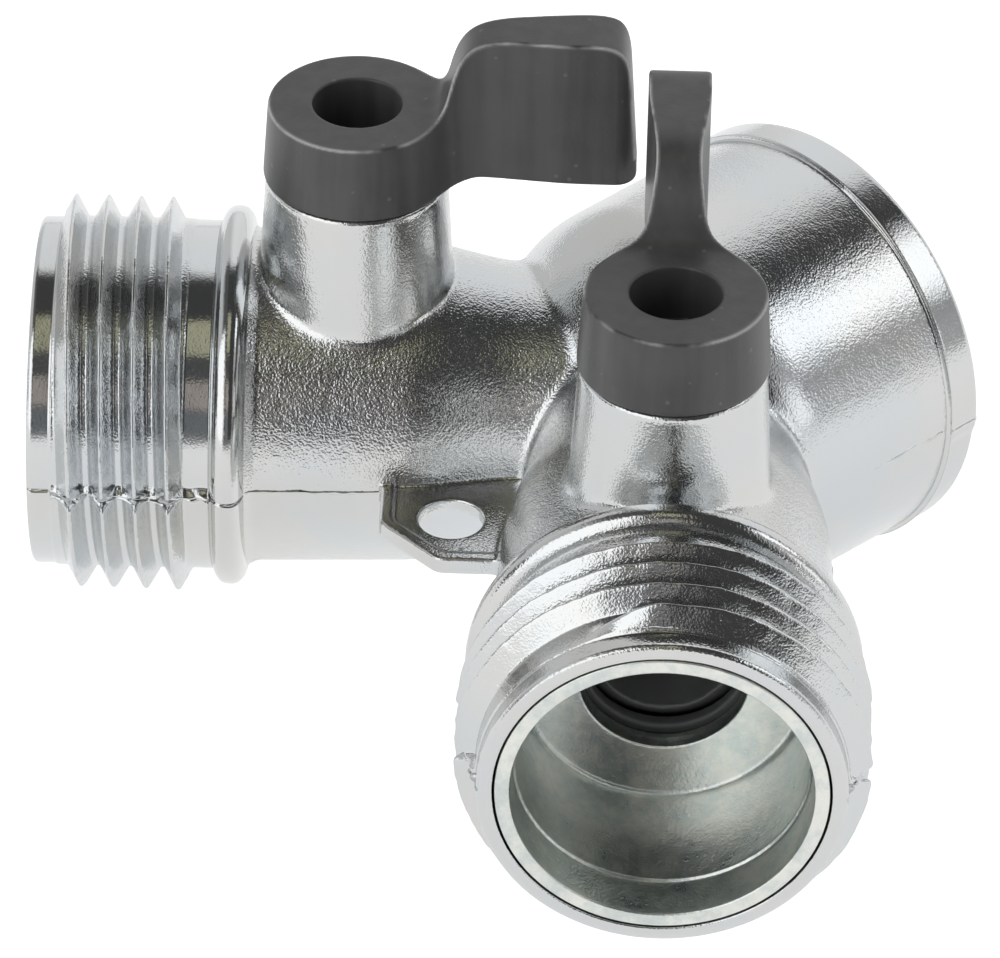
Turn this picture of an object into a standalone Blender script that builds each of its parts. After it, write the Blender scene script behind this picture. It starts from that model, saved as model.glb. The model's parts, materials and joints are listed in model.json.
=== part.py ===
"""Two-way garden hose splitter: a die-cast Y body with a quarter-turn ball valve in each outlet arm.

Lengths below are in millimetres and become metres through MM. The world's +Y runs along the inlet, out of
its mouth, and +Z is up. The arms leave the centre of the Y at 45 degrees to either side of -Y. The origin is
on the surface that the splitter lies on, under the middle of its bounding box.
"""

import math

import bmesh
import bpy
from mathutils import Matrix, Vector

MM = 0.001

# Places of the main axes
CENTRE = (0.0, 11.84, 15.18)   # where the inlet's axis and both arms' axes meet
ARM_ANGLE = 45.0               # degrees between each arm and -Y
VALVE_DISTANCE = 21.4          # from that centre to each valve's stem axis
ARM_END = 43.1                 # from that centre to each outlet's end face
INLET_END = 14.93              # from that centre to the inlet's rim

# Garden hose thread, 11.5 turns per inch
PITCH = 25.4 / 11.5
MALE_CREST = 13.47
MALE_ROOT = 12.05
FEMALE_CREST = 12.25
FEMALE_ROOT = 13.6

GAP = 0.3                      # between pieces that touch
SEGMENTS = 28                  # sides of a turned shape, and steps in a turn of thread
SMALL_SEGMENTS = 16            # sides of an O-ring or a screw

# Body
PIPE_RADIUS = 11.3
PIPE_WAIST = 9.7
LAND_RADIUS = 11.9
BEAD_RADIUS = 13.0
BEAD_PLACE = 29.65
BEAD_HALF_WIDTH = 1.2
SHELL_RADIUS = 14.65
BAND_RADIUS = 15.18
DOME_DEPTH = 11.0
TOWER_TOP = 18.5
TOWER_TOP_RADIUS = 6.12
TOWER_BASE_RADIUS = 6.75
TAB_REACH = 19.2
TAB_CHAMFER = 4.0
TAB_THICKNESS = 1.05
TAB_HOLE_PLACE = 14.4
TAB_HOLE_RADIUS = 2.15

# Valve
CHAMBER_RADIUS = 9.0
CHAMBER_INNER = 13.6
CHAMBER_OUTER = 29.0
PASSAGE_RADIUS = 5.0
BALL_RADIUS = 8.0
BALL_PORT = 4.4
SEAT_RADIUS = 8.7
SEAT_FAR = 7.5                 # seat's flat back from the ball's centre
STEM_RADIUS = 3.3
STEM_BORE = 3.6
FLANGE_RADIUS = 4.2
FLANGE_BOTTOM = 8.95
FLANGE_TOP = 10.4
GROOVE_RADIUS = 2.0
ORING_SECTION = 0.5
ORING_MEAN = 2.8
ORING_HEIGHTS = {"lower": 12.3, "upper": 15.0}

# Lever
HUB_BOTTOM = 18.8
HUB_TOP = 24.0
HUB_BOTTOM_RADIUS = 6.28
HUB_TOP_RADIUS = 5.97
HUB_HOLE = 2.98
HUB_FLOOR = 20.0
DRIVE_TOP = 19.0
BOSS_RADIUS = 3.25
BOSS_BOTTOM = 16.6
STEM_TOP = 16.3
SCREW_HEAD_RADIUS = 1.7
STEM_SQUARE = 3.4
BLADE_NECK_WIDTH = 3.0
BLADE_TIP_WIDTH = 4.2
BLADE_TIP = 18.6

# Outlet sleeve and inlet
SLEEVE_RADIUS = 10.65
SLEEVE_BORE = 9.73
SLEEVE_DEPTH = 12.2
SLEEVE_PORT = 5.5
WASHER_RADIUS = 12.6
WASHER_BORE = 8.0
WASHER_THICKNESS = 3.0
WASHER_FLOOR = 1.0


def clear_scene():
    for thing in list(bpy.data.objects):
        bpy.data.objects.remove(thing, do_unlink=True)


def finish(name, colour, roughness, metallic=0.0):
    """A Principled material."""
    material = bpy.data.materials.new(name)
    material.use_nodes = True
    shader = material.node_tree.nodes["Principled BSDF"]
    shader.inputs["Base Color"].default_value = (*colour, 1.0)
    shader.inputs["Roughness"].default_value = roughness
    shader.inputs["Metallic"].default_value = metallic
    return material


def add_object(name, bm, parent=None, place=None, material=None):
    """Puts a bmesh, drawn in millimetres, into the scene as one object in metres."""
    bmesh.ops.remove_doubles(bm, verts=bm.verts, dist=0.001)
    bmesh.ops.recalc_face_normals(bm, faces=bm.faces)
    bmesh.ops.scale(bm, vec=(MM, MM, MM), verts=bm.verts)
    mesh = bpy.data.meshes.new(name)
    bm.to_mesh(mesh)
    bm.free()
    mesh.shade_smooth()
    mesh.set_sharp_from_angle(angle=math.radians(30))
    thing = bpy.data.objects.new(name, mesh)
    bpy.context.collection.objects.link(thing)
    thing.parent = parent
    if place is not None:
        thing.matrix_local = place
    if material is not None:
        mesh.materials.append(material)
    return thing


def add_empty(name, parent=None, location=(0, 0, 0), rotation=(0, 0, 0)):
    empty = bpy.data.objects.new(name, None)
    bpy.context.collection.objects.link(empty)
    empty.parent = parent
    empty.location = Vector(location) * MM
    empty.rotation_euler = rotation
    return empty


def turned(name, profile, ring=False, segments=SEGMENTS, **settings):
    """A solid turned about its own Z from (radius, height) points. A ring's profile closes on itself; any
    other profile starts and ends on the axis."""
    bm = bmesh.new()
    points = [bm.verts.new((radius, 0, height)) for radius, height in profile]
    lines = [bm.edges.new(pair) for pair in zip(points, points[1:])]
    if ring:
        lines.append(bm.edges.new((points[-1], points[0])))
    bmesh.ops.spin(bm, geom=points + lines, cent=(0, 0, 0), axis=(0, 0, 1), angle=math.tau,
                   steps=segments, use_merge=True)
    return add_object(name, bm, **settings)


def extruded(name, outline, low, high, **settings):
    """A flat outline of (x, y) points made solid between two heights."""
    bm = bmesh.new()
    face = bm.faces.new([bm.verts.new((x, y, low)) for x, y in outline])
    raised = bmesh.ops.extrude_face_region(bm, geom=[face])["geom"]
    moved = [item for item in raised if isinstance(item, bmesh.types.BMVert)]
    bmesh.ops.translate(bm, vec=(0, 0, high - low), verts=moved)
    return add_object(name, bm, **settings)


def thread(name, base, crest, first, last, crest_at_top, **settings):
    """A right-hand helical ridge about Z, of trapezoid section, from height first to height last. Its crest
    passes over +Y at height crest_at_top. It fades at both ends."""
    bm = bmesh.new()
    steps = round((last - first) / PITCH * SEGMENTS)
    fade_steps = SEGMENTS / 5
    rings = []
    for step in range(steps + 1):
        height = first + (last - first) * step / steps
        angle = math.pi / 2 + math.tau * (height - crest_at_top) / PITCH
        fade = min(1.0, (step + 0.6) / fade_steps, (steps - step + 0.6) / fade_steps)
        top = base + (crest - base) * fade
        section = ((base, -0.98), (top, -0.16), (top, 0.16), (base, 0.98))
        rings.append([bm.verts.new((radius * math.cos(angle), radius * math.sin(angle), height + rise))
                      for radius, rise in section])
    for ring, following in zip(rings, rings[1:]):
        for side in range(4):
            after = (side + 1) % 4
            bm.faces.new((ring[side], ring[after], following[after], following[side]))
    bm.faces.new(rings[0])
    bm.faces.new(rings[-1])
    return add_object(name, bm, **settings)


def as_tool(thing):
    """A shape that only adds to or cuts another one isn't a piece of the splitter."""
    thing.hide_render = True
    thing.display_type = "WIRE"
    return thing


def combine(target, tool, operation):
    modifier = target.modifiers.new(f"{operation.lower()} {tool.name}", "BOOLEAN")
    modifier.operation = operation
    modifier.object = as_tool(tool)
    modifier.solver = "EXACT"


def combine_all(target, tools, operation):
    """One Boolean with many tools at once, which keeps the result closed."""
    group = bpy.data.collections.new(f"{operation.lower()} {target.name}")
    bpy.context.scene.collection.children.link(group)
    for tool in tools:
        group.objects.link(as_tool(tool))
    modifier = target.modifiers.new(group.name, "BOOLEAN")
    modifier.operation = operation
    modifier.operand_type = "COLLECTION"
    modifier.collection = group
    modifier.solver = "EXACT"


def arc(centre, radius, start, end, steps):
    """Points on an arc round centre (x, y), between two angles in degrees."""
    angles = [math.radians(start + (end - start) * step / steps) for step in range(steps + 1)]
    return [(centre[0] + radius * math.cos(a), centre[1] + radius * math.sin(a)) for a in angles]


def ellipse_quarter(radius, depth, steps):
    """(radius, height) points of a dome, from its pole at -depth to its rim at height 0."""
    angles = [math.pi / 2 * step / steps for step in range(steps)]
    return [(radius * math.sin(a), -depth * math.cos(a)) for a in angles]


def inlet_outside():
    """The inlet's shell: a dome, a straight wall with a little draft, and the plain band at the rim."""
    dome = [(r, h + 0.8) for r, h in ellipse_quarter(SHELL_RADIUS, DOME_DEPTH, 6)]
    return dome + [
        (SHELL_RADIUS, 0.8),
        (SHELL_RADIUS + 0.2, 12.0),
        (BAND_RADIUS, 12.4),
        (BAND_RADIUS, INLET_END - 0.35),
        (BAND_RADIUS - 0.35, INLET_END),
        (0, INLET_END),
    ]


def inlet_inside():
    """What the inlet's shell is hollowed by: washer recess, threaded bore and the mouth's chamfer."""
    return [
        (0, WASHER_FLOOR - 6.0),
        (6.5, WASHER_FLOOR - 6.0),
        (6.5, WASHER_FLOOR),
        (WASHER_RADIUS + GAP, WASHER_FLOOR),
        (WASHER_RADIUS + GAP, WASHER_FLOOR + WASHER_THICKNESS + 0.9),
        (FEMALE_CREST, WASHER_FLOOR + WASHER_THICKNESS + 1.4),
        (FEMALE_CREST, INLET_END - 1.2),
        (FEMALE_ROOT + 0.3, INLET_END + 0.1),
        (FEMALE_ROOT + 0.3, INLET_END + 1.0),
        (0, INLET_END + 1.0),
    ]


def arm_outside():
    """An arm: the pipe, which widens outwards, the bead, the neck, the thread's root and the plain land."""
    bead = [(BEAD_RADIUS - 1.0 + rise, place) for place, rise in
            arc((BEAD_PLACE, 0), BEAD_HALF_WIDTH, 180, 0, 6)]
    return [
        (0, 0),
        (PIPE_WAIST - 0.2, 0),
        (PIPE_WAIST, 9.7),
        (10.4, 14.7),
        (11.0, 18.5),
        (PIPE_RADIUS, BEAD_PLACE - BEAD_HALF_WIDTH),
        *bead,
        (LAND_RADIUS, BEAD_PLACE + BEAD_HALF_WIDTH),
        (LAND_RADIUS, 33.0),
        (MALE_ROOT, 33.3),
        (MALE_ROOT, 41.2),
        (LAND_RADIUS, 41.4),
        (LAND_RADIUS, ARM_END - 0.4),
        (LAND_RADIUS - 0.4, ARM_END),
        (0, ARM_END),
    ]


def arm_inside():
    """What an arm is hollowed by: the water way, the ball's chamber and the sleeve's bore."""
    sleeve_bore = SLEEVE_RADIUS + GAP
    return [
        (0, 0),
        (PASSAGE_RADIUS, 0),
        (PASSAGE_RADIUS, CHAMBER_INNER),
        (CHAMBER_RADIUS, CHAMBER_INNER),
        (CHAMBER_RADIUS, CHAMBER_OUTER),
        (sleeve_bore, CHAMBER_OUTER),
        (sleeve_bore, ARM_END + 1.0),
        (0, ARM_END + 1.0),
    ]


def tower_inside():
    """The stem's bore, and the wider pocket under it that holds the stem's flange."""
    return [
        (0, 6.0),
        (FLANGE_RADIUS + GAP, 6.0),
        (FLANGE_RADIUS + GAP, FLANGE_TOP + GAP),
        (STEM_BORE, FLANGE_TOP + GAP),
        (STEM_BORE, TOWER_TOP + 1.0),
        (0, TOWER_TOP + 1.0),
    ]


def tab_outline():
    """The web tab in the corner between the arms, with its outer corner cut off. Distances along the two
    arms turn into world x and y."""
    inner = 8.5
    along_arms = [
        (inner, inner),
        (TAB_REACH, inner),
        (TAB_REACH, TAB_REACH - TAB_CHAMFER),
        (TAB_REACH - TAB_CHAMFER, TAB_REACH),
        (inner, TAB_REACH),
    ]
    half = math.sqrt(0.5)
    return [((right - left) * half, (-right - left) * half) for left, right in along_arms]


def blade_outline():
    """The lever's blade from the side: x runs from the hub to the tip, and y is height."""
    return [
        (3.2, HUB_BOTTOM + 0.1),
        (7.2, 19.2),
        *arc((BLADE_TIP - 0.8, 20.1), 0.8, -90, 0, 3),
        *arc((BLADE_TIP - 2.1, 28.4), 1.7, 0, 90, 4),
        (9.6, 29.95),
        *arc((9.4, 27.9), 2.0, 110, 165, 3),
        (6.5, 26.4),
        (5.6, 24.6),
        (4.4, 23.6),
        (3.2, 23.4),
    ]


def blade(name, **settings):
    """The blade made solid. Its width grows from the neck to the tip as a fishtail."""
    bm = bmesh.new()
    outline = blade_outline()
    sides = []
    for side in (-1, 1):
        ring = []
        for x, height in outline:
            reach = max(0.0, (x - 6.0) / (BLADE_TIP - 6.0))
            width = BLADE_NECK_WIDTH + (BLADE_TIP_WIDTH - BLADE_NECK_WIDTH) * reach ** 1.5
            ring.append(bm.verts.new((x, side * width / 2, height)))
        sides.append(ring)
    bm.faces.new(sides[0])
    bm.faces.new(sides[1])
    for index in range(len(outline)):
        after = (index + 1) % len(outline)
        bm.faces.new((sides[0][index], sides[0][after], sides[1][after], sides[1][index]))
    return add_object(name, bm, **settings)


def box(name, size_x, size_y, low, high, **settings):
    half_x, half_y = size_x / 2, size_y / 2
    outline = [(-half_x, -half_y), (half_x, -half_y), (half_x, half_y), (-half_x, half_y)]
    return extruded(name, outline, low, high, **settings)


clear_scene()

plated_zinc = finish("plated_zinc", (0.78, 0.79, 0.80), 0.22, 1.0)
dull_zinc = finish("dull_zinc", (0.42, 0.44, 0.41), 0.45, 1.0)
lever_plastic = finish("lever_plastic", (0.075, 0.077, 0.075), 0.42)
ball_plastic = finish("ball_plastic", (0.02, 0.02, 0.022), 0.3)
seat_plastic = finish("seat_plastic", (0.55, 0.55, 0.52), 0.5)
stem_brass = finish("stem_brass", (0.62, 0.48, 0.25), 0.3, 1.0)
seal_rubber = finish("seal_rubber", (0.02, 0.02, 0.02), 0.7)
screw_steel = finish("screw_steel", (0.12, 0.12, 0.12), 0.45, 1.0)

centre = add_empty("centre", location=CENTRE)
inlet_axis = add_empty("inlet_axis", centre, rotation=(-math.pi / 2, 0, 0))

body = turned("body", inlet_outside(), parent=inlet_axis, material=plated_zinc)
inlet_hollow = turned("inlet_hollow", inlet_inside(), parent=inlet_axis)
inlet_thread = thread("inlet_thread", FEMALE_CREST - 0.15, FEMALE_ROOT, 5.6, INLET_END + 1.5, 8.0,
                      parent=inlet_axis)

added = [extruded("web_tab", tab_outline(), -TAB_THICKNESS / 2, TAB_THICKNESS / 2, parent=centre)]
cut = [inlet_hollow, inlet_thread]

for side, heading in (("left", -ARM_ANGLE), ("right", ARM_ANGLE)):
    turn = math.radians(heading)
    arm_axis = add_empty(f"{side}_arm_axis", centre, rotation=(math.pi / 2, 0, turn))
    along = Vector((math.sin(turn), -math.cos(turn), 0))
    # The valve's own frame: Z is the stem's axis, and X points back along the arm to the Y's centre.
    valve = add_empty(f"{side}_valve", centre, location=along * VALVE_DISTANCE,
                      rotation=(0, 0, turn + math.pi / 2))

    added.append(turned(f"{side}_arm", arm_outside(), parent=arm_axis))
    added.append(thread(f"{side}_thread", MALE_ROOT - 0.2, MALE_CREST, 33.3, 41.2, 40.67 - 3 * PITCH,
                        parent=arm_axis))
    added.append(turned(f"{side}_tower", [(0, 5.0), (TOWER_BASE_RADIUS, 5.0), (6.5, 13.0),
                                          (TOWER_TOP_RADIUS, TOWER_TOP), (0, TOWER_TOP)], parent=valve))
    cut.append(turned(f"{side}_hollow", arm_inside(), parent=arm_axis))
    cut.append(turned(f"{side}_stem_bore", tower_inside(), parent=valve))

    # Outlet sleeve, pressed into the arm's mouth: its floor has the port and backs the outer seat.
    sleeve_inner = ARM_END - SLEEVE_DEPTH
    turned(f"{side}_outlet_sleeve", [
        (SLEEVE_PORT, CHAMBER_OUTER + GAP),
        (SLEEVE_RADIUS, CHAMBER_OUTER + GAP),
        (SLEEVE_RADIUS, ARM_END),
        (SLEEVE_BORE, ARM_END),
        (SLEEVE_BORE - 0.15, ARM_END - 3.2),
        (SLEEVE_BORE - 0.3, ARM_END - 3.35),
        (SLEEVE_BORE - 0.3, sleeve_inner),
        (SLEEVE_PORT, sleeve_inner),
    ], ring=True, parent=arm_axis, material=dull_zinc)

    # Ball seats: rings with a conical face towards the ball, one on each side of it.
    for name, facing in (("inner", -1), ("outer", 1)):
        turned(f"{side}_seat_{name}", [
            (PASSAGE_RADIUS + 0.2, VALVE_DISTANCE + facing * SEAT_FAR),
            (SEAT_RADIUS, VALVE_DISTANCE + facing * SEAT_FAR),
            (SEAT_RADIUS, VALVE_DISTANCE + facing * 4.4),
            (7.0, VALVE_DISTANCE + facing * 4.4),
            (PASSAGE_RADIUS + 0.2, VALVE_DISTANCE + facing * 6.6),
        ], ring=True, parent=arm_axis, material=seat_plastic)

    # Ball, bored along the arm, with a slot on top for the stem's tang.
    ball = turned(f"{side}_ball", [(r, z) for z, r in arc((0, 0), BALL_RADIUS, 180, 0, 10)],
                  segments=20, parent=valve, material=ball_plastic)
    ball_port = turned(f"{side}_ball_port", [(0, -9), (BALL_PORT, -9), (BALL_PORT, 9), (0, 9)],
                       segments=20, parent=valve, place=Matrix.Rotation(math.pi / 2, 4, "Y"))
    combine(ball, ball_port, "DIFFERENCE")
    combine(ball, box(f"{side}_ball_slot", 7.0, 2.4, 5.8, 9.0, parent=valve), "DIFFERENCE")

    # Stem: tang, flange, two O-ring grooves, and a square on top with a hole for the lever's screw.
    grooves = []
    for height in sorted(ORING_HEIGHTS.values()):
        reach = ORING_SECTION + GAP
        grooves += [(STEM_RADIUS, height - reach), (GROOVE_RADIUS, height - reach),
                    (GROOVE_RADIUS, height + reach), (STEM_RADIUS, height + reach)]
    stem = turned(f"{side}_stem", [(0, FLANGE_BOTTOM), (FLANGE_RADIUS, FLANGE_BOTTOM),
                                   (FLANGE_RADIUS, FLANGE_TOP), (STEM_RADIUS, FLANGE_TOP), *grooves,
                                   (STEM_RADIUS, STEM_TOP), (0, STEM_TOP)],
                  segments=24, parent=valve, material=stem_brass)
    combine(stem, box(f"{side}_tang", 6.2, 1.8, 6.1, FLANGE_BOTTOM + 0.2, parent=valve), "UNION")
    combine(stem, box(f"{side}_square", STEM_SQUARE, STEM_SQUARE, STEM_TOP - 0.4, DRIVE_TOP - GAP,
                      parent=valve), "UNION")
    combine(stem, turned(f"{side}_screw_hole", [(0, 14.2), (1.2, 14.2), (1.2, 21.0), (0, 21.0)],
                         segments=SMALL_SEGMENTS, parent=valve), "DIFFERENCE")

    for name, height in ORING_HEIGHTS.items():
        section = arc((ORING_MEAN, height), ORING_SECTION, 0, 315, 7)
        turned(f"{side}_stem_oring_{name}", section, ring=True, segments=SMALL_SEGMENTS, parent=valve,
               material=seal_rubber)

    # Lever: a hub with a deep well for the screw, a boss with a square socket that runs in the
    # tower's bore, and the raised blade.
    lever = turned(f"{side}_handle", [(0, BOSS_BOTTOM), (BOSS_RADIUS, BOSS_BOTTOM),
                                      (BOSS_RADIUS, HUB_BOTTOM), (HUB_BOTTOM_RADIUS, HUB_BOTTOM),
                                      (HUB_TOP_RADIUS, HUB_TOP - 0.25), (HUB_TOP_RADIUS - 0.25, HUB_TOP),
                                      (0, HUB_TOP)], parent=valve, material=lever_plastic)
    combine(lever, blade(f"{side}_blade", parent=valve), "UNION")
    combine(lever, turned(f"{side}_hub_hole", [(0, DRIVE_TOP - 0.2), (1.2, DRIVE_TOP - 0.2),
                                               (1.2, HUB_FLOOR), (HUB_HOLE, HUB_FLOOR),
                                               (HUB_HOLE, HUB_TOP + 1.0), (0, HUB_TOP + 1.0)],
                          segments=24, parent=valve), "DIFFERENCE")
    combine(lever, box(f"{side}_socket", STEM_SQUARE + 2 * GAP, STEM_SQUARE + 2 * GAP, BOSS_BOTTOM - 1.0,
                       DRIVE_TOP, parent=valve), "DIFFERENCE")

    # Screw: a pan head at the bottom of the hub's well and a shank down into the stem.
    screw_head = HUB_FLOOR + GAP
    screw = turned(f"{side}_handle_screw", [(0, 14.6), (0.9, 14.6), (0.9, screw_head),
                                            (SCREW_HEAD_RADIUS, screw_head),
                                            (SCREW_HEAD_RADIUS, screw_head + 0.4),
                                            (SCREW_HEAD_RADIUS - 0.3, screw_head + 0.6),
                                            (0, screw_head + 0.65)],
                   segments=SMALL_SEGMENTS, parent=valve, material=screw_steel)
    for name, size_x, size_y in (("slot_x", 2.1, 0.5), ("slot_y", 0.5, 2.1)):
        combine(screw, box(f"{side}_screw_{name}", size_x, size_y, screw_head + 0.3, screw_head + 2.0,
                           parent=valve), "DIFFERENCE")

tab_hole_y = -TAB_HOLE_PLACE * math.sqrt(2)
cut.append(turned("tab_hole", [(0, -2), (TAB_HOLE_RADIUS, -2), (TAB_HOLE_RADIUS, 2), (0, 2)],
                  segments=24, parent=centre,
                  place=Matrix.Translation(Vector((0, tab_hole_y, 0)) * MM)))
combine_all(body, added, "UNION")
combine_all(body, cut, "DIFFERENCE")

turned("inlet_washer", [(WASHER_BORE, WASHER_FLOOR + GAP), (WASHER_RADIUS, WASHER_FLOOR + GAP),
                        (WASHER_RADIUS, WASHER_FLOOR + GAP + WASHER_THICKNESS),
                        (WASHER_BORE, WASHER_FLOOR + GAP + WASHER_THICKNESS)],
       ring=True, parent=inlet_axis, material=seal_rubber)
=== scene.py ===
import json
import math

import bmesh
import bpy
import numpy as np
from mathutils import Matrix


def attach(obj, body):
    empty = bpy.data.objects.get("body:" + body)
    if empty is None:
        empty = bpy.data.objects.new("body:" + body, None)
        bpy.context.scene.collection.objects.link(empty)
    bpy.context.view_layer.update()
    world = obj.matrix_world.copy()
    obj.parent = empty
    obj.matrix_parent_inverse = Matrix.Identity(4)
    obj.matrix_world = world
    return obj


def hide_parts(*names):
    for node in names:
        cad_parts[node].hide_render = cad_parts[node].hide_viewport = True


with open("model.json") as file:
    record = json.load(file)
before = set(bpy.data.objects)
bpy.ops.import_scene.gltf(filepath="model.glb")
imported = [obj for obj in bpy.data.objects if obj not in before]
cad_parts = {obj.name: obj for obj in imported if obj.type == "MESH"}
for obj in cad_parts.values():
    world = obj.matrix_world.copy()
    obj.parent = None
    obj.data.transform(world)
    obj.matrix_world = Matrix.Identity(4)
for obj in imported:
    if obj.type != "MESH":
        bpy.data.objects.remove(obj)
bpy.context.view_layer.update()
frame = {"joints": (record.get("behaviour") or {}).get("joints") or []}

# ---------------------------------------------------------------- camera
# A long lens looks down on the splitter from in front of its right arm. All lengths in this
# file are millimetres from the point where the axes of both arms and the inlet cross.
MM = 0.001
PIVOTS = {joint["name"]: np.array(joint["pos_m"]) / MM for joint in frame["joints"]}
CENTRE = PIVOTS["left_lever"] + abs(PIVOTS["left_lever"][0]) * np.array([1, 1, 0])
AIM = np.array([-5.77, -10.29, -4.20])
CAMERA_DISTANCE = 497.56
AZIMUTH = math.radians(45.918)
ELEVATION = math.radians(35.725)
ROLL = math.radians(1.1286)
FRONT = np.array([math.sin(AZIMUTH), -math.cos(AZIMUTH), 0.0])
RIGHT = np.array([math.cos(AZIMUTH), math.sin(AZIMUTH), 0.0])
back = FRONT * math.cos(ELEVATION) + np.array([0, 0, math.sin(ELEVATION)])
level_up = np.cross(back, RIGHT)
camera_right = RIGHT * math.cos(ROLL) + level_up * math.sin(ROLL)
turn = np.eye(4)
turn[:3, 0] = camera_right
turn[:3, 1] = np.cross(back, camera_right)
turn[:3, 2] = back
turn[:3, 3] = (CENTRE + AIM + CAMERA_DISTANCE * back) * MM
lens = bpy.data.cameras.new("camera")
lens.lens = 261.45
lens.sensor_width = 36
camera = bpy.data.objects.new("camera", lens)
camera.matrix_world = Matrix(turn.tolist())
bpy.context.scene.collection.objects.link(camera)
bpy.context.scene.camera = camera
bpy.context.scene.view_settings.view_transform = "Standard"


# ---------------------------------------------------------------- studio
# A pale sweep runs under and behind the splitter, with pale walls at both sides; the ceiling
# and the room behind the camera are dark, and the bright metal mirrors all of it.
class Wire:
    """An output socket of a node tree. Arithmetic on it adds Math nodes to the tree."""

    def __init__(self, tree, socket=None):
        self.tree = tree
        self.socket = socket

    def node(self, kind, values=None, output=0, **settings):
        """Adds a node: its settings first, then its sockets' values or links."""
        made = self.tree.nodes.new(kind)
        for name, value in settings.items():
            setattr(made, name, value)
        for name, value in (values or {}).items():
            if isinstance(value, Wire):
                self.tree.links.new(value.socket, made.inputs[name])
            else:
                made.inputs[name].default_value = value
        return Wire(self.tree, made.outputs[output] if made.outputs else None)

    def math(self, operation, *values):
        return self.node("ShaderNodeMath", dict(enumerate(values)), operation=operation)

    def dot(self, axis):
        return self.node("ShaderNodeVectorMath", {0: self, 1: axis}, "Value", operation="DOT_PRODUCT")

    def step(self, at, width):
        """0 below the value at, 1 above it, with an S-shaped rise of that width between."""
        ends = {"From Min": at - width / 2, "From Max": at + width / 2}
        return self.node("ShaderNodeMapRange", {0: self, **ends}, interpolation_type="SMOOTHSTEP")

    def blend(self, low, high):
        """A colour from low, where this value is 0, to high, where it is 1."""
        return self.node("ShaderNodeMix", {0: self, 6: low, 7: high}, 2, data_type="RGBA")

    def __add__(self, other):
        return self.math("ADD", self, other)

    def __sub__(self, other):
        return self.math("SUBTRACT", self, other)

    def __rsub__(self, other):
        return self.math("SUBTRACT", other, self)

    def __mul__(self, other):
        return self.math("MULTIPLY", self, other)

    __radd__ = __add__
    __rmul__ = __mul__


def grey(level, tint=(1, 1, 1)):
    return (*(level * shade for shade in tint), 1)


studio = bpy.data.worlds.new("studio")
studio.use_nodes = True
studio.node_tree.nodes.clear()
start = Wire(studio.node_tree)
direction = start.node("ShaderNodeTexCoord", output="Generated")
height = direction.dot((0, 0, 1))
ahead = direction.dot(tuple(FRONT))
beside = direction.dot(tuple(RIGHT))
sweep = start.math("ARCTAN2", height, ahead) * (180 / math.pi)
turned_aside = start.math("ARCSINE", beside) * (180 / math.pi)


def window(left, right, low, high, soft):
    """1 for directions between those angles to the right and those above the front horizon."""
    sides = turned_aside.step(left, soft) * (1 - turned_aside.step(right, soft))
    return sides * sweep.step(low, soft) * (1 - sweep.step(high, soft))


# Each lamp, wall or patch: its angles to the side, its angles over the top, its edge, its colour.
ROOM = (
    ((-26, 62, -4, 54), 24, grey(0.42)),
    ((-95, -36, 74, 134), 22, grey(0.60)),
    ((36, 68, 40, 76), 14, grey(0.46)),
    ((70, 95, -10, 130), 10, grey(0.42)),
    ((-66, -14, 2, 74), 9, grey(1.42, (0.98, 0.99, 1.0))),
    ((40, 67, 72, 112), 10, grey(1.5, (0.97, 0.985, 1.0))),
    ((50, 74, 4, 44), 12, grey(1.25)),
    ((-10, 38, 5, 118), 5, grey(0.055)),
    ((-6, 6, 5, 24), 3, grey(0.18, (0.95, 1.0, 1.05))),
    ((-6, 6, 24, 43), 3, (0.40, 0.355, 0.325, 1)),
    ((-6, 6, 43, 60), 3, grey(0.08)),
    ((-6, 6, 60, 84), 3, (0.45, 0.44, 0.31, 1)),
    ((-95, -4, 126, 185), 12, grey(0.66)),
    ((-8, 16, 119, 185), 12, grey(0.93)),
    ((9, 95, 126, 185), 9, grey(0.90)),
)
colour = grey(0.10)
for angles, soft, shade in ROOM:
    colour = window(*angles, soft).blend(colour, shade)
floor_side = 1 - height.step(-0.01, 0.06)
colour = floor_side.blend(colour, grey(0.90))
seen = start.node("ShaderNodeLightPath", output="Is Camera Ray")
background = start.node("ShaderNodeBackground", {"Color": seen.blend(colour, grey(1.0))})
start.node("ShaderNodeOutputWorld", {"Surface": background})
bpy.context.scene.world = studio


def principled(name, **values):
    """A new material and its Principled shader's tree: values go on the shader's own sockets."""
    made = bpy.data.materials.new(name)
    made.use_nodes = True
    tree = made.node_tree
    shader = tree.nodes["Principled BSDF"]
    for socket, value in values.items():
        shader.inputs[socket.replace("_", " ")].default_value = value
    return made, Wire(tree), shader


def feed(shader, **wires):
    """Links what changes over the surface to the shader's sockets."""
    for socket, wire in wires.items():
        wire.tree.links.new(wire.socket, shader.inputs[socket.replace("_", " ")])


# The floor leans a little, because the splitter tips until its lower threads touch it.
FLOOR_REACH = 2500
FLOOR_LEAN = math.radians(2.3)
BAND_REST = 13.6  # where the inlet's band touches the floor, along the inlet
across = np.array([-1, 1, 1, -1]) * FLOOR_REACH
along = np.array([-1, -1, 1, 1]) * FLOOR_REACH
floor_height = -CENTRE[2] + (BAND_REST - along) * math.tan(FLOOR_LEAN)
floor_corners = (np.stack([across, along, floor_height], 1) + CENTRE) * MM
floor_mesh = bpy.data.meshes.new("floor")
floor_mesh.from_pydata(floor_corners.tolist(), [], [(0, 1, 2, 3)])
floor = bpy.data.objects.new("floor", floor_mesh)
bpy.context.scene.collection.objects.link(floor)
paper, wire, shader = principled("pale_paper", Roughness=0.9, Specular_IOR_Level=0.1)
fibre = wire.node("ShaderNodeTexCoord", output="Object")
fibre = wire.node("ShaderNodeTexNoise", {"Vector": fibre, "Scale": 60.0})
feed(shader, Base_Color=fibre.blend(grey(0.62), grey(0.66)))
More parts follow.
